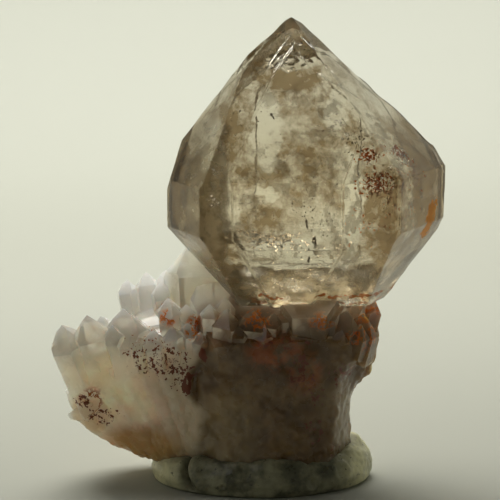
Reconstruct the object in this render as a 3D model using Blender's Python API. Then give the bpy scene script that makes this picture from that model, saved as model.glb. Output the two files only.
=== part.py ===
"""A sceptre quartz: a broad smoky head crystal on a cluster of pale lilac quartz, stood upright in putty.

Lengths are in millimetres until the last step. +Z is up, the specimen's front faces -Y, and the
origin is the middle of the putty's flat underside.
"""

import math
import random

import bmesh
import bpy
import numpy as np
from mathutils import Matrix, Vector

MM = 0.001
FIT_GAP = 0.3
BLOCK_SIZE = 200.0
CUT_MARGIN = 1e-5

# Driving sizes of the head crystal.
HEAD_FRONT_Y = -10.5
HEAD_REAR_Y = 9.4
HEAD_APEX = (3.7, 2.5, 58.4)
HEAD_FOOT_Z = 23.2

# Where the prism faces of the parallel individuals lie: 0.3 mm proud of the front, 0.8 mm
# in from it and 0.6 mm in from the rear, and 0.35 mm proud of the rear.
FRONT_STEP_Y = HEAD_FRONT_Y - 0.3
NOTCH_FRONT_Y = HEAD_FRONT_Y + 0.8
NOTCH_REAR_Y = HEAD_REAR_Y - 0.6
BACK_STEP_Y = HEAD_REAR_Y + 0.35

# Quartz habit: the prism has six sides, and a rhombohedral face leans 38 degrees from upright.
PRISM_SIDES = 6
RHOMB_LEAN = 38.2

# The cluster's broken foot ends inside the putty. From one crystal to the next, a break steps
# up to this much and turns up to this many degrees.
FOOT_Z = 1.4
BREAK_STEP = 0.35
BREAK_TURN = 4.0

# How far out a prism side lies, as a share of the half width, and how far three of the six
# tip faces are set in, as a share of the width.
SLIM_SIDES = (0.86, 1.10)
THICK_SIDES = (0.97, 1.02)
TIP_SET_IN = (0.02, 0.12)
SLIM_SEED = 50

# Driving sizes of the putty.
PUTTY_HALF_WIDTH = 14.2
PUTTY_FRONT_Y = -9.1
PUTTY_REAR_Y = 8.7
PUTTY_HEIGHT = 4.6

# The putty's side from the underside up: share of the height, and share of the radius set in.
PUTTY_SIDE = (
    (0.0, 0.05),
    (0.12, 0.015),
    (0.35, 0.0),
    (0.60, 0.02),
    (0.82, 0.07),
    (0.95, 0.13),
    (1.0, 0.20),
    (0.97, 0.30),
)
PUTTY_MIDDLE = 0.9

# Slow waves round the rim: how many, how strong and where they start. The radius takes 2% of
# their sum and the height 9%, and the putty is thickest at the right, where it was pushed up.
PUTTY_COLUMNS = 48
PUTTY_WAVES = ((3, 0.5, 0.6), (5, 0.35, 2.0), (8, 0.25, 0.0))
PUTTY_WAVE_REACH = 0.02
PUTTY_WAVE_HEIGHT = 0.09
PUTTY_PUSHED_UP = 0.10
PUTTY_PUSHED_AT = 0.5

HEAD_COLOUR = (0.62, 0.55, 0.44)
CLUSTER_COLOUR = (0.66, 0.58, 0.60)
PUTTY_COLOUR = (0.24, 0.26, 0.21)

# Each facet: the compass angle that it faces (0 is +X, 270 the front), how far it leans
# back from upright (negative looks down), and a point on it.
HEAD_MAIN = (
    (270, 0.0, (4.5, HEAD_FRONT_Y, 36.0)),
    (210, 0.0, (-7.4, HEAD_FRONT_Y, 36.0)),
    (150, 0.0, (-11.6, -3.3, 36.0)),
    (330, 0.0, (16.5, HEAD_FRONT_Y, 36.0)),
    (30, 0.0, (22.6, 0.8, 36.0)),
    (90, 0.0, (4.5, HEAD_REAR_Y, 36.0)),
    (270, 35.0, (4.5, HEAD_FRONT_Y, 39.8)),
    (210, 34.0, (-7.4, HEAD_FRONT_Y, 39.2)),
    (150, 34.0, (-9.8, -0.5, 43.6)),
    (180, 17.5, (-11.6, -3.3, 37.8)),
    (210, 49.0, (-0.9, 0.3, 55.9)),
    (150, 49.0, (-0.9, 0.3, 55.9)),
    (330, 44.0, (16.7, HEAD_FRONT_Y, 40.1)),
    (30, 42.0, (14.5, 2.2, 49.0)),
    (0, 27.7, (22.4, 1.0, 40.0)),
    (90, 41.0, HEAD_APEX),
    (270, -38.0, (4.5, HEAD_FRONT_Y, 32.6)),
    (210, -38.0, (-7.4, HEAD_FRONT_Y, 33.3)),
    (150, -38.0, (-11.3, -3.3, 32.6)),
    (180, -43.0, (-9.6, -3.0, 30.6)),
    (330, -32.0, (16.7, HEAD_FRONT_Y, 34.0)),
    (30, -33.0, (20.9, 2.6, 29.9)),
    (0, -37.0, (20.6, 1.5, 29.9)),
    (90, -38.0, (4.5, HEAD_REAR_Y, 32.0)),
)

# A second individual in parallel growth stands proud of the front, left of its middle.
HEAD_FRONT_STEP = (
    (270, 0.0, (4.5, FRONT_STEP_Y, 36.0)),
    (270, 35.0, (4.5, FRONT_STEP_Y, 39.9)),
    (210, 0.0, (-3.4, FRONT_STEP_Y, 36.0)),
    (210, 37.0, (-3.2, FRONT_STEP_Y, 41.0)),
    (210, 46.0, (0.9, -3.2, 51.0)),
    (150, 0.0, (-4.5, -5.0, 36.0)),
    (330, 0.0, (9.6, FRONT_STEP_Y, 36.0)),
    (330, 43.0, (3.3, 0.3, 56.1)),
    (90, 0.0, (4.5, 2.0, 36.0)),
    (90, 38.0, (3.3, 0.3, 56.1)),
    (270, -38.0, (4.5, FRONT_STEP_Y, 31.8)),
    (210, -38.0, (-3.4, FRONT_STEP_Y, 33.0)),
    (330, -38.0, (9.6, FRONT_STEP_Y, 31.8)),
)

# A third, behind on the right, makes the notch in the right flank.
HEAD_REAR_STEP = (
    (270, 0.0, (14.0, -7.0, 36.0)),
    (330, 0.0, (16.5, NOTCH_FRONT_Y, 36.0)),
    (30, 0.0, (23.2, 1.1, 36.0)),
    (90, 0.0, (14.0, NOTCH_REAR_Y, 36.0)),
    (210, 0.0, (9.0, 0.0, 36.0)),
    (150, 0.0, (9.0, 2.0, 36.0)),
    (330, 44.0, (16.7, NOTCH_FRONT_Y, 40.1)),
    (30, 41.0, (21.4, 3.2, 43.1)),
    (0, 27.7, (23.0, 1.0, 39.9)),
    (210, 38.0, (12.4, 2.5, 51.8)),
    (150, 38.0, (12.4, 2.5, 51.8)),
    (90, 41.0, (12.4, 6.5, 49.0)),
    (270, -38.0, (14.0, -7.0, 33.0)),
    (330, -33.0, (16.5, NOTCH_FRONT_Y, 34.4)),
    (30, -33.0, (21.4, 3.0, 29.9)),
    (0, -37.0, (21.2, 1.5, 29.9)),
    (90, -38.0, (14.0, NOTCH_REAR_Y, 33.0)),
)

# A fourth stands proud of the rear.
HEAD_BACK_STEP = (
    (90, 0.0, (5.0, BACK_STEP_Y, 36.0)),
    (90, 41.0, (5.0, BACK_STEP_Y, 49.4)),
    (30, 0.0, (12.4, BACK_STEP_Y, 36.0)),
    (30, 44.0, (12.4, BACK_STEP_Y, 43.4)),
    (150, 0.0, (-0.6, BACK_STEP_Y, 36.0)),
    (150, 38.0, (-0.6, BACK_STEP_Y, 45.6)),
    (270, 0.0, (5.0, 2.0, 36.0)),
    (90, -38.0, (5.0, BACK_STEP_Y, 32.8)),
    (30, -38.0, (12.4, BACK_STEP_Y, 33.6)),
    (150, -38.0, (-0.6, BACK_STEP_Y, 33.2)),
)
HEAD_STEPS = (HEAD_FRONT_STEP, HEAD_REAR_STEP, HEAD_BACK_STEP)

# The thick individuals that make the cluster's mass: a point on the axis, tilt to the right and
# to the front in degrees, width across the prism, turn, and the broken top as a facet.
MASS_CRYSTALS = (
    ((5.6, -0.7, 12.0), 0.5, 0.0, 11.4, 31.0, (268, 62.0, (5.4, -5.0, 22.6))),
    ((-2.4, -1.7, 12.0), 0.0, 0.5, 11.2, 28.0, (258, 46.0, (-2.2, -7.2, 19.6))),
    ((1.6, -1.8, 12.0), 2.0, 0.0, 11.4, 31.0, (268, 50.0, (2.2, -7.2, 19.9))),
    ((5.4, -1.5, 12.0), 8.0, 1.0, 11.0, 33.0, (285, 50.0, (8.4, -6.8, 19.8))),
    ((2.6, 1.6, 12.0), 2.0, 2.0, 10.8, 22.0, (95, 62.0, (2.6, 6.0, 21.6))),
    ((-7.4, -0.4, 12.0), -5.0, 5.0, 9.2, 27.0, (250, 62.0, (-9.0, -5.4, 18.4))),
    ((-11.4, 0.0, 12.0), -10.0, 6.0, 9.2, 33.0, (240, 62.0, (-13.4, -5.0, 17.4))),
    ((-15.4, 0.2, 12.0), -14.0, 6.0, 9.0, 29.0, (232, 60.0, (-17.6, -4.6, 16.0))),
    ((-19.0, 0.4, 12.0), -20.0, 5.0, 8.2, 34.0, (215, 56.0, (-21.6, -3.6, 14.2))),
    ((-20.0, 0.2, 8.0), -8.0, 4.0, 7.6, 26.0, (200, 50.0, (-23.4, 0.0, 12.4))),
    ((-11.0, 2.2, 12.0), -9.0, -6.0, 8.4, 24.0, (110, 66.0, (-12.4, 5.0, 17.8))),
    ((5.8, -3.6, 16.0), 0.0, 0.0, 7.0, 30.0, (270, 60.0, (5.8, -6.0, 23.2))),
)

# The slimmer crystals that stand out of the mass: tip, tilt to the right and to the front,
# width, length and turn.
SIDE_CRYSTALS = (
    ((-25.1, -3.0, 21.0), -20.0, 9.0, 4.6, 11.0, 0.0),
    ((-21.6, -3.5, 22.8), -12.0, 9.0, 4.8, 11.0, 30.0),
    ((-18.4, -5.0, 21.5), -12.0, 14.0, 2.8, 6.0, 10.0),
    ((-17.3, -3.6, 23.8), -9.0, 9.0, 5.8, 12.0, 18.0),
    ((-15.8, -5.3, 20.6), -9.0, 14.0, 2.6, 5.0, 35.0),
    ((-13.4, -5.2, 20.9), -6.0, 14.0, 3.0, 6.0, 25.0),
    ((-11.5, -3.4, 24.5), -5.0, 8.0, 3.0, 9.0, 5.0),
    ((-9.2, -3.4, 23.9), 2.0, 8.0, 2.8, 8.0, 40.0),
    ((-11.0, -5.4, 21.3), -7.0, 14.0, 2.4, 5.0, 12.0),
    ((-9.0, -5.3, 21.8), -3.0, 14.0, 2.2, 5.0, 30.0),
    ((-7.5, -5.7, 20.8), 0.0, 14.0, 2.0, 5.0, 8.0),
    ((-6.3, -4.7, 24.1), -2.0, 8.0, 2.6, 8.0, 15.0),
    ((-4.4, -3.4, 24.7), 5.0, 6.0, 3.8, 11.0, 28.0),
    ((-4.2, -5.6, 23.7), 1.0, 9.0, 3.8, 7.0, 8.0),
    ((-1.0, -5.9, 24.0), 2.0, 9.0, 4.0, 7.0, 20.0),
    ((0.4, -7.0, 22.0), 4.0, 16.0, 2.4, 4.0, 0.0),
    ((-2.8, -6.9, 21.8), -4.0, 16.0, 2.0, 4.0, 20.0),
    ((1.6, -6.0, 23.4), 6.0, 10.0, 2.6, 5.0, 26.0),
    ((10.6, -5.2, 23.5), 6.0, 10.0, 3.8, 7.0, 12.0),
    ((12.8, -3.8, 23.1), 13.0, 10.0, 4.6, 7.0, 33.0),
    ((10.0, -6.5, 21.3), 8.0, 16.0, 2.8, 4.5, 5.0),
    ((12.3, -5.6, 21.7), 12.0, 16.0, 2.6, 5.0, 22.0),
    ((14.3, 1.4, 24.0), 16.0, -4.0, 3.6, 11.0, 5.0),
    ((14.7, 3.6, 20.6), 30.0, -8.0, 3.4, 9.0, 20.0),
    ((15.2, 3.4, 17.4), 48.0, -8.0, 3.0, 8.0, 10.0),
    ((14.6, 2.2, 14.4), 60.0, -6.0, 2.8, 7.0, 40.0),
    ((-17.3, 5.6, 24.9), -10.0, -10.0, 3.0, 12.0, 12.0),
    ((-14.8, 5.9, 25.8), -6.0, -10.0, 3.3, 12.0, 35.0),
    ((-12.3, 5.8, 26.0), -3.0, -9.0, 3.2, 12.0, 0.0),
    ((-12.7, 3.0, 25.2), -8.0, -2.0, 3.0, 10.0, 22.0),
    ((-7.7, 4.8, 31.8), -3.0, -9.0, 8.2, 22.0, 30.0),
    ((-20.8, 3.8, 20.6), -24.0, -12.0, 3.8, 11.0, 22.0),
    ((-24.9, -2.2, 11.8), -64.0, 10.0, 4.0, 7.0, 10.0),
    ((-23.2, -4.4, 10.9), -58.0, 26.0, 3.4, 6.0, 35.0),
    ((-24.6, -3.2, 9.2), -80.0, 14.0, 2.8, 5.0, 20.0),
    ((-21.6, -4.7, 17.6), -24.0, 30.0, 2.6, 5.0, 15.0),
    ((-4.6, 7.0, 24.0), -4.0, -18.0, 3.2, 11.0, 26.0),
    ((-0.4, 7.4, 22.8), 2.0, -18.0, 4.4, 12.0, 14.0),
    ((4.6, 7.8, 23.8), 4.0, -18.0, 3.6, 12.0, 38.0),
    ((9.2, 7.0, 22.8), 10.0, -18.0, 4.0, 11.0, 4.0),
    ((-16.4, 5.8, 18.6), -16.0, -34.0, 3.0, 7.0, 18.0),
    ((11.6, 6.4, 16.0), 36.0, -38.0, 3.2, 7.0, 28.0),
    ((2.2, 8.2, 18.4), 4.0, -40.0, 2.8, 6.0, 10.0),
    ((-21.6, 3.8, 13.8), -56.0, -22.0, 3.0, 6.0, 12.0),
)

# The lower left of the cluster is a broken face, in two planes, and the foot is broken flat.
BROKEN_FACES = (
    (180, -38.0, (-23.5, 0.0, 9.0)),
    (184, -70.0, (-19.2, 0.0, 4.3)),
    (270, -90.0, (0.0, 0.0, FOOT_Z)),
)


def facet_plane(azimuth, lean, point, grow=0.0):
    """A facet as its outward normal and a point on it, moved out by grow."""
    turn = math.radians(azimuth)
    up = math.radians(lean)
    normal = Vector((math.cos(up) * math.cos(turn), math.cos(up) * math.sin(turn), math.sin(up)))
    return normal, Vector(point) + normal * grow


def cut_block(planes):
    """The convex solid inside every plane, cut from a large block by bisecting it."""
    block = bmesh.new()
    bmesh.ops.create_cube(block, size=BLOCK_SIZE)
    for normal, point in planes:
        everything = block.verts[:] + block.edges[:] + block.faces[:]
        cut = bmesh.ops.bisect_plane(
            block, geom=everything, dist=CUT_MARGIN, plane_co=point, plane_no=normal, clear_outer=True
        )
        rim = [item for item in cut["geom_cut"] if isinstance(item, bmesh.types.BMEdge)]
        if rim:
            bmesh.ops.edgeloop_fill(block, edges=rim)
    bmesh.ops.recalc_face_normals(block, faces=block.faces)
    mesh = bpy.data.meshes.new("block")
    block.to_mesh(mesh)
    block.free()
    return mesh


def head_individual(facets, grow=0.0):
    """One individual of the head, with the flat end that sits on the cluster."""
    planes = [facet_plane(*facet, grow) for facet in facets]
    planes.append(facet_plane(270, -90.0, (0.0, 0.0, HEAD_FOOT_Z), grow))
    return cut_block(planes)


def tilted(right_tilt, front_tilt):
    """The turn that tips an upright axis to the right and to the front."""
    to_right = Matrix.Rotation(math.radians(right_tilt), 3, "Y")
    return to_right @ Matrix.Rotation(math.radians(front_tilt), 3, "X")


def prism_planes(middle, turned, width, turn, uneven, grow):
    """Six sides, 60 degrees apart; uneven gives how far out each is, as a share of the half width."""
    planes = []
    for side in range(PRISM_SIDES):
        angle = math.radians(turn + side * 360 / PRISM_SIDES)
        out = turned @ Vector((math.cos(angle), math.sin(angle), 0.0))
        planes.append((out, middle + out * (0.5 * width * uneven() + grow)))
    return planes


def side_individual(index, grow=0.0):
    """A slim crystal: a prism with six tip faces, of which three are the larger."""
    tip, right_tilt, front_tilt, width, length, turn = SIDE_CRYSTALS[index]
    chance = random.Random(SLIM_SEED + index)
    turned = tilted(right_tilt, front_tilt)
    tip = Vector(tip)
    planes = prism_planes(tip, turned, width, turn, lambda: chance.uniform(*SLIM_SIDES), grow)
    for side in range(PRISM_SIDES):
        angle = math.radians(turn + side * 360 / PRISM_SIDES)
        lean = math.radians(RHOMB_LEAN)
        face = Vector((math.cos(angle) * math.cos(lean), math.sin(angle) * math.cos(lean), math.sin(lean)))
        setback = 0.0 if side % 2 else -width * chance.uniform(*TIP_SET_IN)
        planes.append((turned @ face, tip + turned @ face * (setback + grow)))
    down = turned @ Vector((0.0, 0.0, -1.0))
    planes.append((down, tip + down * (length + grow)))
    return cut_block(planes)


def mass_individual(index, grow=0.0):
    """A thick crystal, broken off at the top, at the foot and along the lower left."""
    middle, right_tilt, front_tilt, width, turn, top = MASS_CRYSTALS[index]
    chance = random.Random(index)
    turned = tilted(right_tilt, front_tilt)
    planes = prism_planes(Vector(middle), turned, width, turn, lambda: chance.uniform(*THICK_SIDES), grow)
    planes.append(facet_plane(*top, grow))
    for azimuth, lean, point in BROKEN_FACES:
        step = chance.uniform(0.0, BREAK_STEP)
        azimuth += chance.uniform(-BREAK_TURN, BREAK_TURN)
        planes.append(facet_plane(azimuth, lean, point, grow - step))
    return cut_block(planes)


def putty_mesh():
    """A flat-bottomed pad with a rolled rim: an uneven oval swept through a bulging side.

    Round the rim, radius and height are the oval's plus a few slow waves. The side is widest
    low down, rolls over at the top, and sinks a little towards the middle.
    """
    around = np.linspace(0.0, 2 * math.pi, PUTTY_COLUMNS, endpoint=False)
    rise, inset = np.array(PUTTY_SIDE).T
    wave = sum(strength * np.sin(many * around + start) for many, strength, start in PUTTY_WAVES)
    depth = np.where(np.sin(around) < 0, -PUTTY_FRONT_Y, PUTTY_REAR_Y)
    reach = 1.0 + PUTTY_WAVE_REACH * wave
    pushed_up = PUTTY_PUSHED_UP * np.cos(around - PUTTY_PUSHED_AT)
    height = PUTTY_HEIGHT * (1.0 + PUTTY_WAVE_HEIGHT * wave + pushed_up)
    x = np.outer(1.0 - inset, PUTTY_HALF_WIDTH * reach * np.cos(around))
    y = np.outer(1.0 - inset, depth * reach * np.sin(around))
    z = np.outer(rise, height)
    top = PUTTY_MIDDLE * PUTTY_HEIGHT
    points = np.concatenate([np.stack([x, y, z], axis=-1).reshape(-1, 3), [[0.0, 0.0, top]]])
    rings, columns = x.shape
    faces = [tuple(reversed(range(columns)))]
    for ring in range(rings - 1):
        for column in range(columns):
            after = (column + 1) % columns
            low = ring * columns
            high = low + columns
            faces.append((low + column, low + after, high + after, high + column))
    last = (rings - 1) * columns
    for column in range(columns):
        faces.append((last + column, last + (column + 1) % columns, len(points) - 1))
    mesh = bpy.data.meshes.new("putty")
    mesh.from_pydata(points.tolist(), [], faces)
    return mesh


def place(name, mesh, collection, guide=False):
    """Put a millimetre mesh in the scene in metres; a guide stays out of renders."""
    mesh.transform(Matrix.Scale(MM, 4))
    mesh.name = name
    thing = bpy.data.objects.new(name, mesh)
    collection.objects.link(thing)
    if guide:
        thing.hide_render = True
        thing.display_type = "WIRE"
    return thing


def guides(name, meshes):
    """A collection of guide bodies for a Boolean."""
    collection = bpy.data.collections.new(name)
    bpy.context.scene.collection.children.link(collection)
    for number, mesh in enumerate(meshes):
        place(f"{name}_{number:02d}", mesh, collection, guide=True)
    return collection


def combine(thing, operation, collection):
    """Join the guides to the thing, or cut them from it."""
    boolean = thing.modifiers.new(f"{operation.lower()} {collection.name}", "BOOLEAN")
    boolean.operand_type = "COLLECTION"
    boolean.operation = operation
    boolean.solver = "EXACT"
    boolean.collection = collection


def finish(thing, colour, roughness, transmission=0.0):
    """Give the thing its own material."""
    material = bpy.data.materials.new(f"{thing.name} material")
    material.use_nodes = True
    shader = material.node_tree.nodes["Principled BSDF"]
    shader.inputs["Base Color"].default_value = (*colour, 1.0)
    shader.inputs["Roughness"].default_value = roughness
    shader.inputs["Metallic"].default_value = 0.0
    shader.inputs["Transmission Weight"].default_value = transmission
    thing.data.materials.clear()
    thing.data.materials.append(material)


def make_head(scene):
    head = place("sceptre_head", head_individual(HEAD_MAIN), scene)
    steps = [head_individual(facets) for facets in HEAD_STEPS]
    combine(head, "UNION", guides("head_steps", steps))
    finish(head, HEAD_COLOUR, roughness=0.05, transmission=0.9)


def make_cluster(scene):
    cluster = place("quartz_cluster", mass_individual(0), scene)
    thick = [mass_individual(index) for index in range(1, len(MASS_CRYSTALS))]
    combine(cluster, "UNION", guides("mass_crystals", thick))
    slim = [side_individual(index) for index in range(len(SIDE_CRYSTALS))]
    combine(cluster, "UNION", guides("side_crystals", slim))
    room = [head_individual(facets, FIT_GAP) for facets in (HEAD_MAIN, *HEAD_STEPS)]
    combine(cluster, "DIFFERENCE", guides("head_room", room))
    finish(cluster, CLUSTER_COLOUR, roughness=0.25)


def make_putty(scene):
    putty = place("putty_foot", putty_mesh(), scene)
    room = [mass_individual(index, FIT_GAP) for index in range(len(MASS_CRYSTALS))]
    combine(putty, "DIFFERENCE", guides("cluster_room", room))
    finish(putty, PUTTY_COLOUR, roughness=0.55)


def main():
    for thing in list(bpy.data.objects):
        bpy.data.objects.remove(thing, do_unlink=True)
    scene = bpy.context.scene.collection
    make_head(scene)
    make_cluster(scene)
    make_putty(scene)


main()
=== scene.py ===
import math

import bmesh
import bpy
import numpy as np
from mathutils import Matrix, Vector
from mathutils.bvhtree import BVHTree
from mathutils.geometry import delaunay_2d_cdt


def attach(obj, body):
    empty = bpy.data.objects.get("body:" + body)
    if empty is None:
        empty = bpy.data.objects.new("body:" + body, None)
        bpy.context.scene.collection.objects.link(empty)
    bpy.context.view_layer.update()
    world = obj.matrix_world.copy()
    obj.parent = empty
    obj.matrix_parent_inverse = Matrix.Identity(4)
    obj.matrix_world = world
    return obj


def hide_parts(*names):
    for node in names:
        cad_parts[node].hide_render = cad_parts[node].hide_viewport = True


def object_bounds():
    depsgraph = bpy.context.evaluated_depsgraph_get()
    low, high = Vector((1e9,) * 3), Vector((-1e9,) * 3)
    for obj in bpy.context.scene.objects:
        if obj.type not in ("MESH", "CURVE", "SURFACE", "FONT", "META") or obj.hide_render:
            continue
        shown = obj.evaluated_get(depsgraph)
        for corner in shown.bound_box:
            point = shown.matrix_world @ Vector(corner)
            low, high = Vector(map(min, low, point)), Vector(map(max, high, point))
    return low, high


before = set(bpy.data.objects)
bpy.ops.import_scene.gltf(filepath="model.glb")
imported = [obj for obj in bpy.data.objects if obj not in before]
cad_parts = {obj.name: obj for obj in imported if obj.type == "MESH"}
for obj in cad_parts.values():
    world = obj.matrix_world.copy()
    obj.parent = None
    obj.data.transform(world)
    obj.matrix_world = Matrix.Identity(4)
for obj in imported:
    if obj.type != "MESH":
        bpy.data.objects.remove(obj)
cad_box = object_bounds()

# The view and the studio. A long lens looks 12 degrees down on the specimen's front. The floor is
# pale card that sweeps up all round into a backdrop, and the light is soft and comes mostly from
# above and behind. The card's colour holds painted light and shade: dark grey in front, pale behind.
MM = 0.001
LENS = 129.6
LOOK_DOWN = 12.0
CAMERA_AT = (-1.375, -220.1, 76.4)
CARD_PALE = (0.64, 0.65, 0.585)
CARD_MIDDLE = (0.475, 0.482, 0.424)
CARD_PAINTED_SHADE = (0.21, 0.21, 0.184)
FLOOR_RADIUS = 240.0
SWEEP_RADIUS = 200.0
CARD_TOP_Z = 620.0


def piece_from(name, points, faces, smooth=True):
    """A mesh object at the origin from points in millimetres and faces as rows of point numbers."""
    mesh = bpy.data.meshes.new(name)
    points = np.asarray(points, np.float64) * MM
    mesh.vertices.add(len(points))
    mesh.vertices.foreach_set("co", points.astype(np.float32).ravel())
    faces = np.asarray(faces, np.int32)
    corners = faces.shape[1]
    mesh.loops.add(faces.size)
    mesh.loops.foreach_set("vertex_index", faces.ravel())
    mesh.polygons.add(len(faces))
    mesh.polygons.foreach_set("loop_start", np.arange(0, faces.size, corners, dtype=np.int32))
    mesh.polygons.foreach_set("loop_total", np.full(len(faces), corners, np.int32))
    mesh.polygons.foreach_set("use_smooth", np.full(len(faces), smooth))
    mesh.update(calc_edges=True)
    mesh.validate()
    thing = bpy.data.objects.new(name, mesh)
    bpy.context.scene.collection.objects.link(thing)
    return thing


def sheet_faces(rows, columns, closed=False):
    """Quads between the points of a grid, row by row; closed joins the last column to the first."""
    row, column = np.meshgrid(np.arange(rows - 1), np.arange(columns - (not closed)), indexing="ij")
    after = (column + 1) % columns
    quads = [row * columns + column, row * columns + after, (row + 1) * columns + after, (row + 1) * columns + column]
    return np.stack(quads, axis=-1).reshape(-1, 4)


class Finish:
    """A socket of a material: sums, differences and products of it add Math nodes."""

    def __init__(self, tree, socket=None):
        self.tree = tree
        self.socket = socket

    def make(self, kind, settings=(), values=(), out=0):
        """Any other node: its settings first, then the values or links of its sockets."""
        node = self.tree.nodes.new("ShaderNode" + kind)
        for name, setting in dict(settings).items():
            if name == "stops":
                ramp = node.color_ramp
                for place, colour in setting[:-2]:
                    ramp.elements.new(place)
                for element, (place, colour) in zip(ramp.elements, setting):
                    element.position = place
                    element.color = (*colour, 1.0)
            else:
                setattr(node, name, setting)
        for key, value in dict(values).items():
            if isinstance(value, Finish):
                self.tree.links.new(value.socket, node.inputs[key])
            else:
                node.inputs[key].default_value = value
        return Finish(self.tree, node.outputs[out])

    def maths(self, operation, *values):
        return self.make("Math", {"operation": operation}, dict(enumerate(values)))

    def __add__(self, other):
        return self.maths("ADD", self, other)

    def __sub__(self, other):
        return self.maths("SUBTRACT", self, other)

    def __rsub__(self, other):
        return self.maths("SUBTRACT", other, self)

    def __mul__(self, other):
        return self.maths("MULTIPLY", self, other)

    __radd__ = __add__
    __rmul__ = __mul__

    def rises(self, low, high):
        """0 below low, 1 above high, and a smooth rise between; high below low makes it fall."""
        spread = {"From Min": low, "From Max": high}
        if high < low:
            spread = {"From Min": high, "From Max": low, "To Min": 1.0, "To Max": 0.0}
        return self.make("MapRange", {"interpolation_type": "SMOOTHSTEP"}, {"Value": self, **spread})

    def tint(self, low, high):
        """The colour low where this is 0 and high where it is 1."""
        low, high = [side if isinstance(side, Finish) else (*side, 1.0) for side in (low, high)]
        return self.make("Mix", {"data_type": "RGBA"}, {0: self, 6: low, 7: high}, out=2)

    def noise(self, size, detail=3.0, rough=0.5, stretch=(1.0, 1.0, 1.0), offset=(0.0, 0.0, 0.0)):
        """Noise with lumps of about this size in millimetres, on Object coordinates."""
        scale = tuple(way / (size * MM) for way in stretch)
        place = self.make("TexCoord", out=3)
        place = place.make("Mapping", {}, {"Vector": place, "Location": offset, "Scale": scale})
        return self.make("TexNoise", {}, {"Vector": place, "Scale": 1.0, "Detail": detail, "Roughness": rough})


def material(name):
    """A new material with no nodes yet, and a Finish that makes its nodes."""
    paint = bpy.data.materials.new(name)
    paint.use_nodes = True
    paint.node_tree.nodes.clear()
    return paint, Finish(paint.node_tree)


def output(finish, surface, volume=None):
    """Join the shaders to the material's output."""
    links = {"Surface": surface}
    if volume is not None:
        links["Volume"] = volume
    node = finish.tree.nodes.new("ShaderNodeOutputMaterial")
    for key, value in links.items():
        finish.tree.links.new(value.socket, node.inputs[key])


camera = bpy.data.objects.new("camera", bpy.data.cameras.new("camera"))
bpy.context.scene.collection.objects.link(camera)
camera.data.lens = LENS
camera.data.clip_start = 0.01
camera.data.clip_end = 10.0
camera.location = Vector(CAMERA_AT) * MM
camera.rotation_euler = (math.radians(90.0 - LOOK_DOWN), 0.0, 0.0)
bpy.context.scene.camera = camera


def card_bowl(columns=96, steps=24):
    """Floor, quarter turn and wall: one line in radius and height, carried round the middle."""
    turn = np.linspace(0.0, math.pi / 2, steps)
    radius = np.concatenate([[0.5], FLOOR_RADIUS + SWEEP_RADIUS * np.sin(turn), [FLOOR_RADIUS + SWEEP_RADIUS]])
    height = np.concatenate([[0.0], SWEEP_RADIUS * (1.0 - np.cos(turn)), [CARD_TOP_Z]])
    around = np.linspace(0.0, 2 * math.pi, columns, endpoint=False)
    x, y = np.outer(radius, np.cos(around)), np.outer(radius, np.sin(around))
    return np.stack([x, y, np.repeat(height[:, None], columns, 1)], axis=-1)


bowl = card_bowl()
backdrop = piece_from("backdrop", bowl.reshape(-1, 3), sheet_faces(*bowl.shape[:2], closed=True))
card, paper = material("pale card")
away = paper.make("SeparateXYZ", {}, {0: paper.make("TexCoord", out=3)}, out=1)
# Painted light and shade: the card goes from dark grey in front of the specimen to pale behind it.
card_colour = away.rises(-0.20, 0.10).tint(CARD_PAINTED_SHADE, CARD_MIDDLE)
card_colour = away.rises(0.13, 0.36).tint(card_colour, CARD_PALE)
output(paper, paper.make("BsdfPrincipled", {}, {"Base Color": card_colour, "Roughness": 0.9}))
backdrop.data.materials.append(card)


def softbox(name, at, aim, size, power, colour=(1.0, 1.0, 1.0)):
    """A square area light in millimetres that faces a point."""
    lamp = bpy.data.lights.new(name, "AREA")
    lamp.shape = "RECTANGLE"
    lamp.size, lamp.size_y = size[0] * MM, size[1] * MM
    lamp.energy = power
    lamp.color = colour
    thing = bpy.data.objects.new(name, lamp)
    thing.location = Vector(at) * MM
    thing.rotation_euler = (Vector(aim) - Vector(at)).to_track_quat("-Z", "Y").to_euler()
    bpy.context.scene.collection.objects.link(thing)


softbox("over and behind", (-48.0, 130.0, 330.0), (0.0, 30.0, 10.0), (260.0, 200.0), 1.15, (1.0, 0.985, 0.92))
softbox("far sweep", (0.0, 250.0, 430.0), (0.0, 400.0, 60.0), (560.0, 160.0), 0.95, (1.0, 1.0, 0.95))
softbox("front left", (-240.0, -200.0, 260.0), (0.0, 0.0, 30.0), (160.0, 160.0), 0.06)
world = bpy.data.worlds.new("studio")
bpy.context.scene.world = world
world.use_nodes = True
world.node_tree.nodes["Background"].inputs["Color"].default_value = (0.62, 0.63, 0.58, 1.0)
world.node_tree.nodes["Background"].inputs["Strength"].default_value = 0.05
render = bpy.context.scene
render.view_settings.view_transform = "Standard"
render.cycles.max_bounces = 24
render.cycles.transmission_bounces = 24
render.cycles.transparent_max_bounces = 32
render.cycles.use_denoising = True
render.cycles.blur_glossy = 0.3

# The sceptre's head: one clear smoky quartz crystal, flattened, with steps of parallel growth.
# It grew on the cluster's middle crystal. Its facets keep the fine growth lines of the prism.
QUARTZ_IOR = 1.544
REAR_RIDGE_Z = 48.8
FLAT_ANGLE = math.radians(0.3)
CRISP_ANGLE = math.radians(14.0)
CRISP_LENGTH = 1.0
SMOKE_COLOUR = (0.80, 0.67, 0.32)
SMOKE_DENSITY = 32.0

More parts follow.
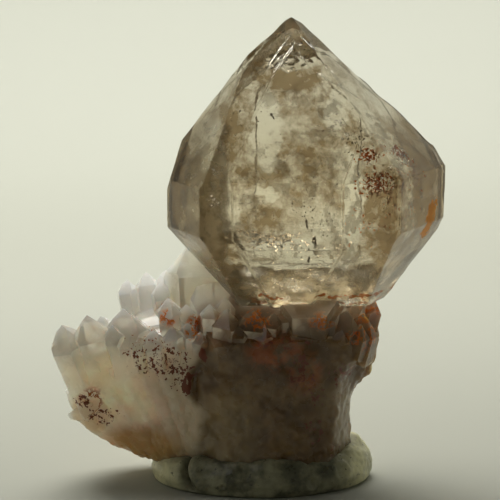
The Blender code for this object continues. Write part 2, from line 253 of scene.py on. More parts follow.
smoky, glass = material("clear smoky quartz")
fine_lines = glass.noise(0.9, 3.0, 0.6, stretch=(0.25, 0.25, 2.2))
pits = glass.noise(0.35, 2.0, 0.5)
etched = glass.make("Bump", {}, {"Strength": 0.22, "Distance": 0.0001, "Height": fine_lines + pits * 0.3})
rearward = glass.make("SeparateXYZ", {}, {0: glass.make("TexCoord", out=3)}, out=1).rises(0.000, 0.004)
rough = glass.noise(4.0, 3.0).rises(0.45, 0.75) * 0.07 + rearward * 0.20 + 0.015
at_mm = glass.make("VectorMath", {"operation": "SCALE"}, {0: glass.make("TexCoord", out=3), "Scale": 1 / MM})
x_mm, y_mm, z_mm = (at_mm.make("SeparateXYZ", {}, {0: at_mm}, out=axis) for axis in range(3))
ragged = glass.noise(1.2, 5.0, 0.7) - 0.5
streak = (x_mm - 20.9 - (z_mm - 35.0) * 0.25 + ragged * 2.4) * 1.6
streak = (streak * streak).rises(1.0, 0.3) * (z_mm + ragged * 3.0).rises(31.2, 32.0) * (z_mm + ragged * 3.0).rises(36.8, 36.0)
contact = z_mm + ragged * 3.0 - 24.7
contact = (contact * contact).rises(0.10, 0.02) * glass.noise(2.6, 3.0).rises(0.45, 0.52) * x_mm.rises(-2.0, 0.0)
stain = streak.maths("MAXIMUM", streak * 0.95, contact * 0.85)
crust_colour = contact.tint((0.90, 0.33, 0.012), (0.42, 0.09, 0.012))
# Painted shade: the skin is tinted brown towards both sides, for the dark rim of the head.
side_painted_shade = (x_mm - 4.8).maths("ABSOLUTE", x_mm - 4.8).rises(9.0, 14.5) * z_mm.rises(27.0, 30.0) * z_mm.rises(52.0, 47.0)
skin_colour = side_painted_shade.tint((1.0, 0.99, 0.97), (0.50, 0.40, 0.26))
etched_face = x_mm.rises(-2.6, -4.6) * x_mm.rises(-9.2, -8.0) * y_mm.rises(-1.0, -3.0)
rough = rough + etched_face * 0.22
surface = glass.make("BsdfPrincipled", {}, {
    "Base Color": stain.tint(skin_colour, (0.85, 0.26, 0.02)),
    "Roughness": rough,
    "IOR": QUARTZ_IOR,
    "Transmission Weight": 1.0,
    "Normal": etched,
})
crust = glass.make("BsdfPrincipled", {}, {
    "Base Color": crust_colour,
    "Roughness": 0.6,
    "Specular IOR Level": 0.2,
})
surface = glass.make("MixShader", {}, {0: stain * 0.85, 1: surface, 2: crust})
smoke = glass.make("VolumeAbsorption", {}, {"Color": (*SMOKE_COLOUR, 1.0), "Density": SMOKE_DENSITY})
output(glass, surface, smoke)


def wears(thing, paint):
    """The thing's only material."""
    thing.data.materials.clear()
    thing.data.materials.append(paint)


def skin_of(node, spacing, edge_flat):
    """A dense copy of a CAD node's surface in millimetres: its points and its triangles.

    Coplanar triangles are joined into facets and each long edge gets a narrow flat. A facet is then
    filled by a Delaunay triangulation of the points at equal steps along its sides and of a
    grid of points that keep off its sides, so it stays flat and its edges stay straight.
    """
    shape = bmesh.new()
    shape.from_mesh(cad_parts[node].data)
    shape.transform(Matrix.Scale(1 / MM, 4))
    bmesh.ops.remove_doubles(shape, verts=shape.verts, dist=1e-4)
    bmesh.ops.dissolve_limit(shape, angle_limit=FLAT_ANGLE, verts=shape.verts, edges=shape.edges)
    crisp = [edge for edge in shape.edges if edge.calc_face_angle(0.0) > CRISP_ANGLE and edge.calc_length() > CRISP_LENGTH]
    if edge_flat:
        bmesh.ops.bevel(shape, geom=crisp, offset=edge_flat, offset_type="OFFSET", segments=1, profile=0.5, affect="EDGES")
    shape.verts.index_update()
    points = [np.array([corner.co for corner in shape.verts])]
    count = len(shape.verts)
    along = {}
    for edge in shape.edges:
        low, high = (np.array(corner.co) for corner in edge.verts)
        steps = max(1, round(edge.calc_length() / spacing))
        share = np.linspace(0.0, 1.0, steps + 1)[1:-1, None]
        points.append(low + (high - low) * share)
        along[edge] = (edge.verts[0], np.arange(count, count + steps - 1))
        count += steps - 1
    points = np.concatenate(points)
    inner = []
    triangles = []
    for facet in shape.faces:
        numbers = []
        for corner in facet.loops:
            first, between = along[corner.edge]
            numbers += [corner.vert.index, *(between if first == corner.vert else between[::-1])]
        numbers = np.array(numbers)
        middle = np.array(facet.calc_center_median())
        up = np.array(facet.normal)
        side = np.array(facet.calc_tangent_edge())
        side -= up * (side @ up)
        side /= np.linalg.norm(side)
        axes = np.stack([side, np.cross(up, side)], axis=1)
        rim = (points[numbers] - middle) @ axes
        grid = grid_inside(rim, spacing)
        inner.append(middle + grid @ axes.T)
        numbers = np.concatenate([numbers, np.arange(count, count + len(grid))])
        count += len(grid)
        flat = [Vector(place) for place in np.concatenate([rim, grid])]
        _, _, made, origin, _, _ = delaunay_2d_cdt(flat, [], [list(range(len(rim)))], 1, 1e-4)
        first = np.array([numbers[same[0]] if same else -1 for same in origin])
        made = first[np.array(made, int).reshape(-1, 3)]
        triangles.append(made[(made >= 0).all(1)])
    shape.free()
    return np.concatenate([points, *inner]), np.concatenate(triangles)


def grid_inside(rim, spacing):
    """Points of a triangular grid inside a flat outline, at least half a step from its sides."""
    low, high = rim.min(0), rim.max(0)
    x, y = np.meshgrid(np.arange(low[0], high[0], spacing), np.arange(low[1], high[1], spacing * 0.866))
    x = x + (np.arange(len(x)) % 2)[:, None] * spacing / 2
    places = np.stack([x, y], axis=-1).reshape(-1, 1, 2)
    start = rim
    side = np.roll(rim, -1, axis=0) - start
    offset = places - start
    share = np.clip((offset * side).sum(-1) / (side * side).sum(-1), 0.0, 1.0)
    away = np.linalg.norm(offset - share[..., None] * side, axis=-1).min(1)
    over = (start[:, 1] > places[..., 1]) != (np.roll(rim, -1, axis=0)[:, 1] > places[..., 1])
    crossing = start[:, 0] + side[:, 0] * (places[..., 1] - start[:, 1]) / np.where(side[:, 1] == 0, 1.0, side[:, 1])
    inside = (over & (places[..., 0] < crossing)).sum(1) % 2 == 1
    return places[inside & (away > 0.5 * spacing), 0]


def close_pinholes(thing):
    """Fill any opening left where two facets only just meet."""
    shape = bmesh.new()
    shape.from_mesh(thing.data)
    rim = [edge for edge in shape.edges if edge.is_boundary]
    filled = bmesh.ops.holes_fill(shape, edges=rim, sides=0)["faces"]
    bmesh.ops.triangulate(shape, faces=filled)
    shape.to_mesh(thing.data)
    shape.free()


def point_normals(points, faces):
    """The mean direction of the faces round each point, the larger ones counting more."""
    a, b, c = (points[faces[:, corner]] for corner in range(3))
    face = np.cross(b - a, c - a)
    total = np.zeros_like(points)
    for corner in range(3):
        np.add.at(total, faces[:, corner], face)
    return total / np.maximum(np.linalg.norm(total, axis=1, keepdims=True), 1e-12)


def ripples(points, size, seed, stretch=(1.0, 1.0, 1.0)):
    """A smooth random field, mostly from -1 to 1: 24 sine waves in random directions, added up."""
    chance = np.random.default_rng(seed)
    way = chance.normal(size=(3, 24))
    way *= 2 * math.pi / size * chance.uniform(0.6, 1.4, 24) / np.linalg.norm(way, axis=0)
    return np.sin(points * stretch @ way + chance.uniform(0.0, 2 * math.pi, 24)).sum(1) / 5.0


def kept_inside(points):
    """Points in millimetres, none of them outside the box round the plain solids."""
    low, high = (np.array(corner) / MM for corner in cad_box)
    return np.clip(points, low, high)


points, faces = skin_of("sceptre_head", 0.36, 0.07)
normals = point_normals(points, faces)
upright = np.clip(1.0 - 3.0 * np.abs(normals[:, 2]), 0.0, 1.0)
behind = np.clip((points[:, 1] + 1.0) / 4.0, 0.0, 1.0)
level = points[:, 2] + 0.5 * ripples(points, 9.0, 3)
growth = np.sin(level * 2 * math.pi / 1.7) + 0.6 * np.sin(level * 2 * math.pi / 2.9 + 1.0)
relief = 0.014 * upright * growth * (0.5 + ripples(points, 7.0, 4))
relief += (0.022 + 0.045 * behind) * ripples(points, 3.4, 5)
relief += 0.05 * behind * ripples(points, 7.0, 6)
chevron = (points[:, 2] + 0.9 * np.abs(points[:, 0] - 3.7) + 0.12 * ripples(points, 3.0, 7)) / 1.35 % 1.0
peak = np.clip((points[:, 2] - 50.5) / 1.5, 0.0, 1.0) * (1.0 - behind)
relief -= 0.11 * peak * chevron ** 3
points = kept_inside(points + normals * relief[:, None])
rear_peak = np.clip((points[:, 0] - 9.5) / 1.5, 0.0, 1.0) * np.clip((points[:, 1] - 3.5) / 1.5, 0.0, 1.0)
points[:, 2] -= rear_peak * np.maximum(points[:, 2] - (REAR_RIDGE_Z - (points[:, 0] - 12.5)), 0.0)
head = piece_from("head_crystal", points, faces)
close_pinholes(head)
head.data.set_sharp_from_angle(angle=math.radians(15.0))
wears(head, smoky)
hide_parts("sceptre_head")
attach(head, "root")

# Inside the head: healed cracks that show as curved, wispy veils, flakes of red-brown iron oxide
# along the cracks at the right, and dark specks and slivers low in the middle. They are in the
# crystal, so they are thin closed lenses of their own, clear of its skin.
VEIL_GRID = (15, 28)
FLAKE_GRID = (7, 14)


def lens(grid, middle, wide, high, facing, lean, spin, bend, ragged, seed, thick=0.02):
    """A thin closed lens in millimetres: its points, its faces and how far each point is from its rim.

    Round it runs an angle, and across it a number from -1 at the middle of one side over 0 at
    the rim to 1 at the middle of the other. The radius is an oval with a ragged rim, and both
    sides follow one curved sheet, a little apart in the middle.
    """
    rings, spokes = grid
    chance = np.random.default_rng(seed)
    turn = np.linspace(0.0, 2 * math.pi, spokes, endpoint=False)
    across = np.linspace(-1.0, 1.0, rings)[:, None]
    rim = 1.0 + ragged * sum(chance.uniform(0.4, 1.0) / many * np.sin(many * turn + chance.uniform(0, 6.3)) for many in (2, 3, 5, 7))
    out = 1.0 - np.abs(across)
    u = out * rim * np.cos(turn) * wide / 2
    v = out * rim * np.sin(turn) * high / 2
    curve = bend * (out * rim) ** 2 + 0.06 * wide * np.sin(u * 9.0 / wide + seed) * np.sin(v * 7.0 / high + 2.0 * seed)
    w = curve + np.sign(across) * thick * (1.0 - out)
    azimuth, up, roll = np.radians([facing, lean, spin])
    normal = np.array([math.cos(up) * math.cos(azimuth), math.cos(up) * math.sin(azimuth), math.sin(up)])
    side = np.array([-math.sin(azimuth), math.cos(azimuth), 0.0])
    top = np.cross(normal, side)
    side, top = side * math.cos(roll) + top * math.sin(roll), top * math.cos(roll) - side * math.sin(roll)
    places = np.array(middle) + u[..., None] * side + v[..., None] * top + w[..., None] * normal
    inner = places[1:-1].reshape(-1, 3)
    points = np.concatenate([inner, places[:1, 0], places[-1:, 0]])
    faces = sheet_faces(rings - 2, spokes, closed=True)
    faces = np.concatenate([faces[:, [0, 1, 2]], faces[:, [0, 2, 3]]])
    ring = np.arange(spokes)
    last = (rings - 3) * spokes
    after = (ring + 1) % spokes
    low = np.stack([after, ring, np.full(spokes, len(inner))], axis=1)
    high = np.stack([last + ring, last + after, np.full(spokes, len(inner) + 1)], axis=1)
    share = np.concatenate([np.repeat(1.0 - out[1:-1], spokes, 1).ravel(), [1.0, 1.0]])
    return points, np.concatenate([faces, low, high]), share


def lenses(name, rows, grid=FLAKE_GRID):
    """One piece of many lenses, with how far in from the rim each point is as the attribute inward."""
    made = [lens(grid, *row) for row in rows]
    starts = np.cumsum([0] + [len(points) for points, _, _ in made[:-1]])
    points = np.concatenate([points for points, _, _ in made])
    faces = np.concatenate([faces + start for (_, faces, _), start in zip(made, starts)])
    thing = piece_from(name, points, faces)
    inward = thing.data.attributes.new("inward", "FLOAT", "POINT")
    inward.data.foreach_set("value", np.concatenate([share for _, _, share in made]).astype(np.float32))
    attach(thing, "root")
    return thing


# Middle, width, height, facing, lean, spin, bend, raggedness and seed of each veil.
PALE_VEILS = (
    ((8.2, -3.2, 47.6), 3.4, 5.4, 280, 34, 10, 0.5, 0.6, 3),
    ((7.6, -5.0, 41.0), 3.4, 3.0, 262, 4, 0, 0.4, 0.5, 5),
    ((13.6, -2.2, 44.0), 3.2, 10.4, 300, 32, 28, 0.6, 0.3, 6),
    ((-6.2, -4.2, 43.0), 2.6, 6.0, 235, 30, -24, 0.4, 0.5, 7),
    ((-8.4, -3.0, 37.0), 2.4, 6.0, 225, 4, 0, 0.3, 0.5, 8),
    ((5.0, -3.6, 27.2), 13.0, 3.4, 272, -20, 0, 0.5, 0.35, 9),
    ((5.4, -2.2, 25.8), 12.0, 2.6, 268, -30, 0, 0.4, 0.45, 19),
    ((2.0, -6.8, 31.6), 9.0, 2.2, 268, -8, 2, 0.4, 0.5, 10),
    ((4.6, 1.0, 40.0), 12.0, 9.0, 275, 14, 20, 1.4, 0.5, 11),
    ((-1.0, 2.4, 34.0), 10.0, 8.0, 250, -10, -30, 1.2, 0.5, 12),
    ((10.0, 4.0, 34.0), 9.0, 11.0, 310, 8, 15, 1.0, 0.5, 13),
    ((3.0, 4.6, 46.0), 8.0, 7.0, 95, 20, 0, 1.0, 0.5, 14),
    ((-4.5, 1.0, 40.0), 6.0, 10.0, 215, 10, 8, 0.8, 0.5, 15),
    ((12.0, 0.5, 30.0), 8.0, 5.0, 330, -25, 10, 0.7, 0.5, 16),
)


def wisps(name, colour, thinnest, densest, size, seed):
    """Wispy veil: the colour lets light through, and noise and the rim's distance set how much there is."""
    paint, veil = material(name)
    inward = veil.make("Attribute", {"attribute_name": "inward"}, {}, out=2)
    cloud = veil.noise(size, 5.0, 0.62, offset=(seed, 0.0, 0.0)).rises(0.46, 0.62)
    there = inward.rises(0.0, 0.35) * (cloud * (densest - thinnest) + thinnest)
    lit = veil.make("BsdfTranslucent", {}, {"Color": (*colour, 1.0)})
    front = veil.make("BsdfPrincipled", {}, {"Base Color": (*colour, 1.0), "Roughness": 0.45})
    body = veil.make("MixShader", {}, {0: 0.45, 1: lit, 2: front})
    clear = veil.make("BsdfTransparent")
    output(veil, veil.make("MixShader", {}, {0: there, 1: clear, 2: body}))
    return paint


veils = lenses("pale_veils", PALE_VEILS, VEIL_GRID)
wears(veils, wisps("healed crack", (0.93, 0.92, 0.86), 0.02, 0.5, 1.8, 1.0))

# A smoky growth zone: where the crystal's skin once was, a brown haze lies under the present
# skin all round. It has clear windows and denser patches, most of them at the front.
ZONE_MIDDLE = (4.8, -0.5, 38.5)
ZONE_SHARE = (0.93, 0.86, 0.93)
WINDOWS = (
    (0.7, 45.2, 1.9, 4.8, 1.0), (0.6, 38.4, 1.6, 0.8, 0.9), (10.8, 36.6, 1.3, 6.4, 0.9), (8.9, 48.0, 1.7, 2.4, 0.8),
    (-6.8, 44.6, 1.9, 2.9, 0.7), (5.2, 28.6, 8.0, 2.6, 0.75), (6.0, 34.0, 4.5, 3.4, 0.5), (2.6, 31.8, 4.6, 1.1, 0.9),
    (17.0, 36.6, 0.9, 4.4, 0.7), (-4.0, 36.0, 1.6, 2.6, 0.5), (4.2, 54.6, 2.6, 1.8, 0.7), (-8.6, 32.0, 2.4, 1.2, 0.8),
)
SMOKY_PATCHES = (
    (4.1, 52.5, 3.5, 2.5, 1.3), (-0.4, 40.2, 3.6, 1.5, 0.8), (-3.4, 46.0, 1.6, 5.0, 0.8), (15.6, 35.8, 2.6, 4.8, 0.8),
    (-4.8, 30.6, 2.6, 4.4, 0.8), (4.6, 41.4, 2.4, 3.0, 0.6), (-10.4, 38.0, 1.8, 6.0, 1.0), (18.6, 41.0, 3.0, 7.0, 1.0),
    (15.0, 32.4, 3.0, 3.0, 1.0), (-6.6, 33.0, 2.6, 3.4, 0.8), (1.6, 35.2, 4.6, 1.6, 0.6), (17.6, 46.0, 2.4, 3.4, 0.9), (13.0, 36.2, 1.4, 3.4, 0.6), (-8.6, 45.0, 1.4, 3.0, 0.7),
    (8.0, 26.0, 4.0, 0.9, 0.8), (0.2, 52.6, 1.4, 2.0, 0.8), (11.0, 46.0, 1.4, 3.4, 0.6),
)
MILKY_PATCHES = (
    (-6.6, 38.0, 2.6, 9.5, 0.9), (3.8, 56.6, 4.5, 2.6, 1.0), (5.2, 27.0, 9.0, 2.9, 0.9), (-8.6, 31.0, 2.6, 2.4, 0.8),
    (-9.4, 44.0, 1.6, 3.0, 0.5), (14.4, 44.6, 1.7, 3.0, 0.9), (15.8, 28.0, 2.6, 3.6, 1.0), (16.6, 37.6, 0.7, 4.6, 0.9),
    (-6.0, 38.0, 1.6, 9.0, 0.9), (0.5, 40.4, 1.2, 0.6, 0.8),
)
BAND_FROM = (9.6, 51.3)
BAND_WAY = (0.577, -0.817)
BAND_LENGTH = 13.4

points, faces = skin_of("sceptre_head", 0.8, 0.0)
head_skin = BVHTree.FromPolygons(points.tolist(), faces.tolist())
points = ZONE_MIDDLE + (points - ZONE_MIDDLE) * ZONE_SHARE
points += point_normals(points, faces) * (0.16 * ripples(points, 4.0, 8) + 0.05 * ripples(points, 1.6, 9))[:, None]
zone = piece_from("growth_zone", points, faces)
close_pinholes(zone)
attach(zone, "root")
hazy, haze = material("smoky growth zone")
place = haze.make("VectorMath", {"operation": "SCALE"}, {0: haze.make("TexCoord", out=3), "Scale": 1 / MM})
x_mm, y_mm, z_mm = (place.make("SeparateXYZ", {}, {0: place}, out=axis) for axis in range(3))
x_mm = x_mm + (haze.noise(2.2, 5.0, 0.6) - 0.5) * 3.2
z_mm = z_mm + (y_mm + 8.0) * 0.135 + (haze.noise(2.2, 5.0, 0.6, offset=(7.0, 3.0, 5.0)) - 0.5) * 3.2


def patches(rows, core=0.15):
    """The strongest of the soft oval patches at each place: x, z, half width, half height and strength."""
    result = None
    for x, z, wide, high, strength in rows:
        across, up = (x_mm - x) * (1.0 / wide), (z_mm - z) * (1.0 / high)
        mask = (across * across + up * up).rises(1.15, core) * strength
        result = mask if result is None else mask.maths("MAXIMUM", mask, result)
    return result


front = (y_mm - z_mm.rises(44.0, 58.0) * 5.0).rises(1.0, -3.0)
along = (x_mm - BAND_FROM[0]) * BAND_WAY[0] + (z_mm - BAND_FROM[1]) * BAND_WAY[1]
off = (x_mm - BAND_FROM[0]) * BAND_WAY[1] - (z_mm - BAND_FROM[1]) * BAND_WAY[0]
band = (off * off).rises(1.5, 0.2) * along.rises(-1.0, 2.0) * along.rises(BAND_LENGTH + 1.0, BAND_LENGTH - 1.0)
window = patches(WINDOWS, 0.6)
window = 1.0 - window.maths("MAXIMUM", window, band * 0.8) * 0.95
smoky_patch = patches(SMOKY_PATCHES) * front * (haze.noise(1.5, 5.0, 0.65).rises(0.36, 0.60) * 0.6 + 0.4)
milky_patch = patches(MILKY_PATCHES) * front
cloud = haze.noise(3.0, 6.0, 0.62).rises(0.36, 0.64)
fine = haze.noise(0.9, 5.0, 0.7).rises(0.40, 0.62)
off_middle = (x_mm - 4.6).maths("ABSOLUTE", x_mm - 4.6)
# Painted shade: the haze is denser towards both sides to darken the head's rim, on top of the zone's own smoke.
flank_painted_shade = off_middle.rises(8.5, 14.5) * z_mm.rises(28.5, 32.0)
there = (cloud * 0.42 + fine * 0.32) * (front * 0.7 + 0.3) + front * 0.16 + smoky_patch * 0.66 + flank_painted_shade * (cloud * 0.3 + 0.34)
milk = milky_patch * (fine * 0.35 + cloud * 0.35 + 0.22)
there = there * (1.0 - z_mm.rises(53.4, 55.4) * 0.8)
there = there.maths("MAXIMUM", there * window, milk)
there = there.maths("MINIMUM", there, 0.90)
tint = haze.make("BsdfTransparent", {}, {"Color": (0.37, 0.27, 0.155, 1.0)})
amber = haze.make("BsdfTranslucent", {}, {"Color": (0.60, 0.49, 0.32, 1.0)})
ivory = haze.make("BsdfTranslucent", {}, {"Color": (0.90, 0.82, 0.64, 1.0)})
glow = haze.make("MixShader", {}, {0: milky_patch, 1: amber, 2: ivory})
brown = haze.make("MixShader", {}, {0: milky_patch * 0.55 + 0.25, 1: tint, 2: glow})
clear = haze.make("BsdfTransparent")
output(haze, haze.make("MixShader", {}, {0: there, 1: clear, 2: brown}))
wears(zone, hazy)

# Where the iron oxide sits: middle, spread, number of flakes and their size.
OXIDE_SPOTS = (
    ((13.0, -6.0, 42.0), (1.3, 1.0, 0.9), 60, 0.55),
    ((16.4, -4.6, 42.4), (1.5, 1.0, 0.9), 70, 0.6),
    ((14.4, -6.4, 38.8), (2.0, 1.0, 1.1), 90, 0.55),
    ((17.6, -4.0, 39.6), (1.2, 1.0, 1.8), 50, 0.5),
    ((16.2, -5.0, 36.0), (1.8, 1.0, 2.0), 36, 0.4),
    ((12.6, -6.0, 34.4), (2.2, 1.0, 1.6), 26, 0.35),
)


def sunk(at, depth):
    """The place, moved in until it is this deep under the head's skin."""
    at = Vector(at)
    for _ in range(4):
        near, out, _, _ = head_skin.find_nearest(at)
        under = (near - at).dot(out)
        if under < 0.0:
            at, under = near, 0.0
        at = at - out * max(0.0, depth - under)
    return at


def scattered(spots, seed, depth, leans, turns=(215, 325)):
    """Rows for lenses: flakes at random in and round each spot, of random size and direction."""
    chance = np.random.default_rng(seed)
    rows = []
    for middle, spread, many, size in spots:
        for _ in range(many):
            at = np.array(middle) + chance.normal(0.0, 0.55, 3) * np.array(spread)
            wide, high = size * chance.uniform(0.35, 1.3), size * chance.uniform(0.2, 0.9)
            at = sunk(at, depth + 0.8 * max(wide, high))
            facing, lean, spin = chance.uniform(*turns), chance.uniform(*leans), chance.uniform(0, 180)
            rows.append((at, wide, high, facing, lean, spin, 0.1 * wide, 0.8, int(chance.integers(1e6))))
    return rows


oxide = lenses("iron_oxide_flakes", scattered(OXIDE_SPOTS, 31, 0.3, (-30.0, 30.0)))
rust, rusty = material("iron oxide")
rust_colour = rusty.noise(0.8, 3.0).rises(0.35, 0.65).tint((0.50, 0.12, 0.022), (0.98, 0.40, 0.08))
rim_share = rusty.make("Attribute", {"attribute_name": "inward"}, {}, out=2)
torn = (rim_share * 0.5 + rusty.noise(0.35, 3.0, 0.7)).rises(0.56, 0.66)
shine = rusty.make("BsdfTranslucent", {}, {"Color": (0.98, 0.36, 0.06, 1.0)})
scale = rusty.make("BsdfPrincipled", {}, {"Base Color": rust_colour, "Roughness": 0.35})
flake = rusty.make("MixShader", {}, {0: 0.5, 1: shine, 2: scale})
output(rusty, rusty.make("MixShader", {}, {0: torn, 1: rusty.make("BsdfTransparent"), 2: flake}))
wears(oxide, rust)

DARK_SPOTS = (
    ((5.2, -6.4, 36.6), 2.6, 30, 0.24),
    ((7.0, -6.0, 33.6), 2.4, 26, 0.26),
    ((11.3, -5.2, 44.0), 1.6, 30, 0.36),
    ((1.0, -6.0, 43.0), 4.5, 24, 0.20),
    ((-2.6, -5.6, 47.6), 1.4, 8, 0.30),
    ((8.0, -4.0, 40.0), 6.0, 30, 0.18),
)
SLIVERS = (
    ((5.4, -6.8, 34.6), 0.35, 0.9, 268, 6, 10, 0.05, 1.0, 41),
    ((6.4, -6.8, 32.4), 0.5, 1.3, 265, 2, -6, 0.05, 1.0, 42),
    ((5.7, -6.4, 31.0), 0.35, 1.0, 270, 4, 8, 0.05, 1.0, 43),
    ((1.3, -5.4, 47.2), 0.3, 0.8, 262, 20, 20, 0.05, 1.2, 45),
)
specks = lenses("dark_specks", [*SLIVERS, *scattered(DARK_SPOTS, 32, 0.4, (-40.0, 40.0))])
soot, sooty = material("dark inclusion")
soot_colour = sooty.noise(0.5, 2.0).tint((0.02, 0.018, 0.014), (0.16, 0.13, 0.09))
output(sooty, sooty.make("BsdfPrincipled", {}, {"Base Color": soot_colour, "Roughness": 0.4}))
wears(specks, soot)

# Open cracks full of air mirror the light: small bright glints, most of them low in the middle.
GLINT_SPOTS = (
    ((0.4, -10.4, 33.0), (3.8, 0.3, 0.9), 110, 0.8),
    ((-1.6, -10.4, 35.4), (1.4, 0.3, 2.6), 40, 0.5),
    ((-5.6, -9.4, 37.4), 0.8, 20, 0.5),
    ((-9.0, -7.0, 40.2), 1.0, 20, 0.45),
    ((-5.6, -8.8, 41.0), 1.0, 16, 0.4),
    ((14.6, -7.4, 39.2), 2.2, 50, 0.55),
    ((17.0, -5.4, 42.0), 1.6, 30, 0.5),
    ((4.4, -4.6, 26.4), (6.0, 1.0, 1.0), 90, 0.7),
    ((8.0, -10.0, 30.8), 3.6, 40, 0.45),
    ((9.0, -7.4, 47.0), 2.2, 36, 0.5),
    ((3.0, -0.6, 52.6), 1.2, 14, 0.45),
    ((6.0, -10.4, 38.0), (6.0, 0.3, 6.0), 90, 0.3),
)
CHEVRONS = (
    ((2.0, -0.2, 52.6), 3.4, 0.55, 262, 55, 42, 0.1, 0.4, 61),
    ((2.6, 0.2, 53.6), 2.6, 0.50, 262, 55, 40, 0.1, 0.4, 62),
    ((4.8, 0.2, 53.4), 2.4, 0.50, 280, 55, -32, 0.1, 0.4, 63),
    ((3.2, 1.0, 55.0), 1.5, 0.40, 262, 55, 30, 0.1, 0.4, 64),
    ((4.5, 1.0, 55.0), 1.5, 0.40, 280, 55, -32, 0.1, 0.4, 65),
)
glints = lenses("open_cracks", [*CHEVRONS, *scattered(GLINT_SPOTS, 33, 0.2, (60.0, 84.0), (248, 292))])
mirror, mirrored = material("open crack")
silver = mirrored.make("BsdfPrincipled", {}, {"Base Color": (1.0, 0.985, 0.95, 1.0), "Metallic": 1.0, "Roughness": 0.16})
output(mirrored, silver)
wears(glints, mirror)

# Growth ledges: where one growth layer ends on the next, a narrow step catches the light as a
# bright line just under the skin. They run along the apex, the right ridge and the lower rim.
TO_LIGHT = Vector((-0.10, -0.42, 0.90))
LEDGES = (
    ((0.6, 52.7), (3.5, 56.3), 0.30), ((1.3, 52.2), (4.0, 55.2), 0.22), ((7.1, 54.2), (4.6, 56.5), 0.24),
    ((12.0, 48.9), (7.0, 52.5), 0.26), ((15.2, 48.4), (11.4, 51.2), 0.18), ((0.6, 31.1), (-2.4, 30.9), 0.12),
    ((14.2, 26.6), (17.0, 31.0), 0.22),
)


def ledge(low, high, wide, seed):
    """A row for a long thin lens just under the skin, from one place of the front to another.

    It runs along the facet and is turned about its length until it faces the light.
    """
    before = Vector(((low[0] + high[0]) / 2, -30.0, (low[1] + high[1]) / 2))
    at, out, _, _ = head_skin.ray_cast(before, Vector((0.0, 1.0, 0.0)))
    along = Vector((high[0] - low[0], 0.0, high[1] - low[1]))
    along.y = -along.dot(out) / out.y
    length = along.length
    along.normalize()
    normal = (TO_LIGHT - along * TO_LIGHT.dot(along)).normalized()
    facing = math.atan2(normal.y, normal.x)
    side = Vector((-math.sin(facing), math.cos(facing), 0.0))
    spin = math.atan2(-along.dot(side), along.dot(normal.cross(side)))
    lean = math.asin(normal.z)
    return at - out * 0.4, wide, length, math.degrees(facing), math.degrees(lean), math.degrees(spin), 0.0, 0.5, seed


ledges = lenses("growth_ledges", [ledge(*row, 71 + number) for number, row in enumerate(LEDGES)])
wears(ledges, mirror)

# The cluster: pale lilac quartz crystals that grew together on a broken mass. Their tips are clear
# and the lobe at the left lets light through. The thick block at the right is painted dark brown:
# painted shade over its own browner tone. Iron and manganese oxides stain it brown and orange along
# the cracks and between the crystals.
milky, stone = material("milky lilac quartz")
place = stone.make("VectorMath", {"operation": "SCALE"}, {0: stone.make("TexCoord", out=3), "Scale": 1 / MM})
x_mm, y_mm, z_mm = (place.make("SeparateXYZ", {}, {0: place}, out=axis) for axis in range(3))
drift = stone.noise(5.0, 4.0) - 0.5


def spot(x, z, wide, high, strength=1.0):
    """A soft round patch on the front, in millimetres, its rim moved about by noise."""
    across = (x_mm - x + drift * 3.0) * (1.0 / wide)
    up = (z_mm - z + drift * 3.0) * (1.0 / high)
    return (across * across + up * up).rises(1.0, 0.15) * strength


def lightest(*masks):
    """The strongest of the masks at each place."""
    result = masks[0]
    for mask in masks[1:]:
        result = result.maths("MAXIMUM", result, mask)
    return result


bulge = (z_mm - 14.0) * (z_mm - 14.0)
blend = y_mm.rises(-2.0, 3.0)
edge = x_mm + bulge.rises(14.0, 0.0) * 1.4 + drift * (blend * 6.0 + 3.0)
block = ((edge + 7.5) * (0.55 - blend * 0.43)).rises(-0.5, 0.5) * (z_mm + x_mm * 0.05).rises(24.0, 20.0)
cloudy = stone.noise(3.2, 5.0, 0.6)
lobe_colour = cloudy.rises(0.3, 0.7).tint((0.87, 0.77, 0.61), (0.97, 0.92, 0.79))
lilac = (z_mm - x_mm * 0.06).rises(12.5, 19.5)
lobe_colour = (lilac * 0.8).tint(lobe_colour, (0.94, 0.86, 0.76))
# Painted shade: the lobe is tinted brown, darkening towards the block.
painted_shade_near_block = edge.rises(-16.0, -8.0) * z_mm.rises(20.0, 16.0)
lobe_colour = (painted_shade_near_block * 0.75).tint(lobe_colour, (0.58, 0.44, 0.27))
# Painted shade: the thick block's base colour is dark brown for the shade in it, over its own browner tone.
block_colour_with_painted_shade = cloudy.rises(0.3, 0.75).tint((0.122, 0.066, 0.022), (0.245, 0.150, 0.060))
pale_share = lightest(spot(-4.0, 8.0, 5.0, 7.0, 0.8), spot(10.6, 8.0, 1.6, 6.0), spot(9.0, 12.0, 2.4, 3.0, 0.6))
block_colour_with_painted_shade = (pale_share * (cloudy * 0.8 + 0.2)).tint(block_colour_with_painted_shade, (0.37, 0.28, 0.15))
rear_left = y_mm.rises(0.5, 3.0) * x_mm.rises(-9.0, -11.0) * z_mm.rises(19.0, 21.0)
lobe_colour = rear_left.tint(lobe_colour, (0.98, 0.965, 0.90))
brown_tips = x_mm.rises(-6.5, -3.0) * z_mm.rises(18.5, 20.0)
lobe_colour = brown_tips.tint(lobe_colour, (0.64, 0.49, 0.36))
side_crystal = x_mm.rises(-12.0, -10.5) * x_mm.rises(-3.0, -5.0) * z_mm.rises(20.5, 23.0)
lobe_colour = (side_crystal * 0.8).tint(lobe_colour, (0.97, 0.87, 0.71))
rosy = x_mm.rises(12.0, 14.0) * z_mm.rises(12.0, 15.0)
lobe_colour = (rosy * 0.7).tint(lobe_colour, (0.78, 0.38, 0.27))
colour = block.tint(lobe_colour, block_colour_with_painted_shade)
